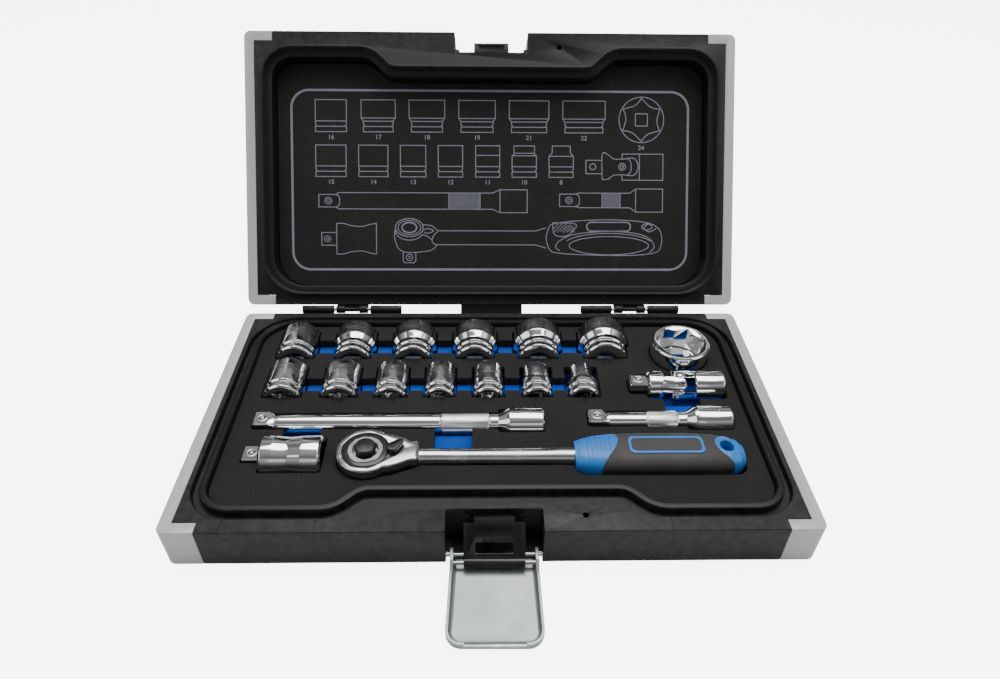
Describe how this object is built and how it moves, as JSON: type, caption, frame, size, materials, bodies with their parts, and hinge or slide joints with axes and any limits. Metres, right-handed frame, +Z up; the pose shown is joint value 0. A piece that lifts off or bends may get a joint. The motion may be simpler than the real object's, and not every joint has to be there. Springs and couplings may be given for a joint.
{
  "type": "socket wrench set in case",
  "caption": "Hinged case with a foam insert holding sockets, extension bars, a universal joint, an adaptor and a ratchet handle, closed by a front lever latch.",
  "frame": {"origin": "centre of the base's underside, on the surface it stands on", "axes": "+X to the right along the case, +Y towards the hinges, +Z up; the lid stands open"},
  "size_m": [0.3, 0.3275, 0.1637],
  "materials": {
    "shell": "satin moulded black",
    "trim": "silver painted",
    "foam": "closed-cell foam, dark grey",
    "foam_blue": "closed-cell foam, blue",
    "lever": "satin painted sheet",
    "black": "black moulded",
    "pins": "plain",
    "chrome": "polished chrome plate",
    "satin_steel": "satin chrome",
    "blue_grip": "blue moulded grip",
    "grip": "dark grey soft grip"
  },
  "bodies": {
    "base": {"base_shell": "shell", "base_trim_left": "trim", "base_trim_right": "trim", "hinge_pin_left": "pins", "hinge_pin_right": "pins", "latch_base_pin": "pins", "foam_top_back": "foam", "foam_top_middle": "foam", "foam_top_front": "foam", "foam_insert_blue": "foam_blue"},
    "lid": {"lid_shell": "shell", "lid_trim_left": "trim", "lid_trim_right": "trim", "lid_foam": "foam"},
    "latch_lever": {"latch_lever": "lever", "latch_link_pin": "pins"},
    "latch_link": {"latch_link": "black"},
    "socket_16mm": {"socket_16mm": "chrome"},
    "socket_17mm": {"socket_17mm": "chrome"},
    "socket_18mm": {"socket_18mm": "chrome"},
    "socket_19mm": {"socket_19mm": "chrome"},
    "socket_21mm": {"socket_21mm": "chrome"},
    "socket_22mm": {"socket_22mm": "chrome"},
    "socket_15mm": {"socket_15mm": "chrome"},
    "socket_14mm": {"socket_14mm": "chrome"},
    "socket_13mm": {"socket_13mm": "chrome"},
    "socket_12mm": {"socket_12mm": "chrome"},
    "socket_11mm": {"socket_11mm": "chrome"},
    "socket_10mm": {"socket_10mm": "chrome"},
    "socket_8mm": {"socket_8mm": "chrome"},
    "socket_24mm": {"socket_24mm": "chrome"},
    "long_extension": {"long_extension": "chrome"},
    "long_extension_ball": {"long_extension_ball": "pins"},
    "short_extension": {"short_extension": "chrome"},
    "short_extension_ball": {"short_extension_ball": "pins"},
    "adaptor": {"adaptor": "chrome"},
    "adaptor_ball": {"adaptor_ball": "pins"},
    "ujoint_male_yoke": {"ujoint_male_yoke": "chrome"},
    "ujoint_ball": {"ujoint_ball": "pins"},
    "ujoint_cross": {"ujoint_cross": "satin_steel"},
    "ujoint_female_yoke": {"ujoint_female_yoke": "chrome"},
    "ratchet": {"ratchet_body": "satin_steel", "ratchet_cover_ring": "satin_steel", "handle_front_cap": "blue_grip", "handle_grip": "grip", "handle_badge": "blue_grip", "handle_end_cap": "blue_grip", "ratchet_pawl": "satin_steel"},
    "drive_anvil": {"drive_anvil": "satin_steel"},
    "drive_ball": {"drive_ball": "pins"},
    "quick_release_button": {"quick_release_button": "black"},
    "reversing_lever": {"reversing_lever": "black"}
  },
  "joints": [
    {"name": "lid_hinge", "type": "hinge", "parent": "base", "child": "lid", "pos_m": [0, 0.0858, 0.0249], "axis": [-1, 0, 0], "range_deg": [-124.8, 0]},
    {"name": "latch_lever_hinge", "type": "hinge", "parent": "base", "child": "latch_lever", "pos_m": [0, -0.0805, 0.0045], "axis": [1, 0, 0], "range_deg": [-91.8, 0]},
    {"name": "latch_link_hinge", "type": "hinge", "parent": "latch_lever", "child": "latch_link", "pos_m": [0, -0.086, 0.006], "axis": [-1, 0, 0], "range_deg": [-131.7, 0]},
    {"name": "socket_16mm_lift", "type": "slide", "parent": "base", "child": "socket_16mm", "axis": [0, 0, 1], "range_m": [0, 0.08]},
    {"name": "socket_17mm_lift", "type": "slide", "parent": "base", "child": "socket_17mm", "axis": [0, 0, 1], "range_m": [0, 0.08]},
    {"name": "socket_18mm_lift", "type": "slide", "parent": "base", "child": "socket_18mm", "axis": [0, 0, 1], "range_m": [0, 0.08]},
    {"name": "socket_19mm_lift", "type": "slide", "parent": "base", "child": "socket_19mm", "axis": [0, 0, 1], "range_m": [0, 0.08]},
    {"name": "socket_21mm_lift", "type": "slide", "parent": "base", "child": "socket_21mm", "axis": [0, 0, 1], "range_m": [0, 0.08]},
    {"name": "socket_22mm_lift", "type": "slide", "parent": "base", "child": "socket_22mm", "axis": [0, 0, 1], "range_m": [0, 0.08]},
    {"name": "socket_15mm_lift", "type": "slide", "parent": "base", "child": "socket_15mm", "axis": [0, 0, 1], "range_m": [0, 0.08]},
    {"name": "socket_14mm_lift", "type": "slide", "parent": "base", "child": "socket_14mm", "axis": [0, 0, 1], "range_m": [0, 0.08]},
    {"name": "socket_13mm_lift", "type": "slide", "parent": "base", "child": "socket_13mm", "axis": [0, 0, 1], "range_m": [0, 0.08]},
    {"name": "socket_12mm_lift", "type": "slide", "parent": "base", "child": "socket_12mm", "axis": [0, 0, 1], "range_m": [0, 0.08]},
    {"name": "socket_11mm_lift", "type": "slide", "parent": "base", "child": "socket_11mm", "axis": [0, 0, 1], "range_m": [0, 0.08]},
    {"name": "socket_10mm_lift", "type": "slide", "parent": "base", "child": "socket_10mm", "axis": [0, 0, 1], "range_m": [0, 0.08]},
    {"name": "socket_8mm_lift", "type": "slide", "parent": "base", "child": "socket_8mm", "axis": [0, 0, 1], "range_m": [0, 0.08]},
    {"name": "socket_24mm_lift", "type": "slide", "parent": "base", "child": "socket_24mm", "axis": [0, 0, 1], "range_m": [0, 0.08]},
    {"name": "long_extension_lift", "type": "slide", "parent": "base", "child": "long_extension", "axis": [0, 0, 1], "range_m": [0, 0.08]},
    {"name": "short_extension_lift", "type": "slide", "parent": "base", "child": "short_extension", "axis": [0, 0, 1], "range_m": [0, 0.08]},
    {"name": "adaptor_lift", "type": "slide", "parent": "base", "child": "adaptor", "axis": [0, 0, 1], "range_m": [0, 0.08]},
    {"name": "ujoint_male_yoke_lift", "type": "slide", "parent": "base", "child": "ujoint_male_yoke", "axis": [0, 0, 1], "range_m": [0, 0.08]},
    {"name": "ratchet_lift", "type": "slide", "parent": "base", "child": "ratchet", "axis": [0, 0, 1], "range_m": [0, 0.08]},
    {"name": "long_extension_ball_press", "type": "slide", "parent": "long_extension", "child": "long_extension_ball", "axis": [0, 0, 1], "range_m": [-0.0008, 0], "stiffness_N_per_m": 200, "springref_m": 0.001},
    {"name": "short_extension_ball_press", "type": "slide", "parent": "short_extension", "child": "short_extension_ball", "axis": [0, 0, 1], "range_m": [-0.0008, 0], "stiffness_N_per_m": 200, "springref_m": 0.001},
    {"name": "adaptor_ball_press", "type": "slide", "parent": "adaptor", "child": "adaptor_ball", "axis": [0, 0, 1], "range_m": [-0.0008, 0], "stiffness_N_per_m": 200, "springref_m": 0.001},
    {"name": "ujoint_ball_press", "type": "slide", "parent": "ujoint_male_yoke", "child": "ujoint_ball", "axis": [0, 0, 1], "range_m": [-0.0008, 0], "stiffness_N_per_m": 200, "springref_m": 0.001},
    {"name": "drive_ball_press", "type": "slide", "parent": "drive_anvil", "child": "drive_ball", "axis": [-1, 0, 0], "range_m": [-0.0008, 0], "stiffness_N_per_m": 200, "springref_m": 0.001},
    {"name": "ujoint_cross_hinge", "type": "hinge", "parent": "ujoint_male_yoke", "child": "ujoint_cross", "pos_m": [0.1015, 0.0156, 0.0235], "axis": [0, -0.7071, 0.7071], "range_deg": [0, 20]},
    {"name": "ujoint_female_hinge", "type": "hinge", "parent": "ujoint_cross", "child": "ujoint_female_yoke", "pos_m": [0.1015, 0.0156, 0.0235], "axis": [0, -0.7071, -0.7071], "range_deg": [0, 30]},
    {"name": "drive_spin", "type": "hinge", "parent": "ratchet", "child": "drive_anvil", "pos_m": [-0.0625, -0.0364, 0.022], "axis": [0, 0, 1], "continuous": true},
    {"name": "quick_release_press", "type": "slide", "parent": "drive_anvil", "child": "quick_release_button", "axis": [0, 0, 1], "range_m": [-0.0015, 0], "stiffness_N_per_m": 400, "springref_m": 0.001},
    {"name": "reversing_lever_swing", "type": "hinge", "parent": "ratchet", "child": "reversing_lever", "pos_m": [-0.049, -0.0364, 0.028], "axis": [0, 0, 1], "range_deg": [-90, 0]}
  ],
  "couplings": [
    {"joint": "latch_link_hinge", "follows": "latch_lever_hinge", "ratio": 1.4346}
  ]
}
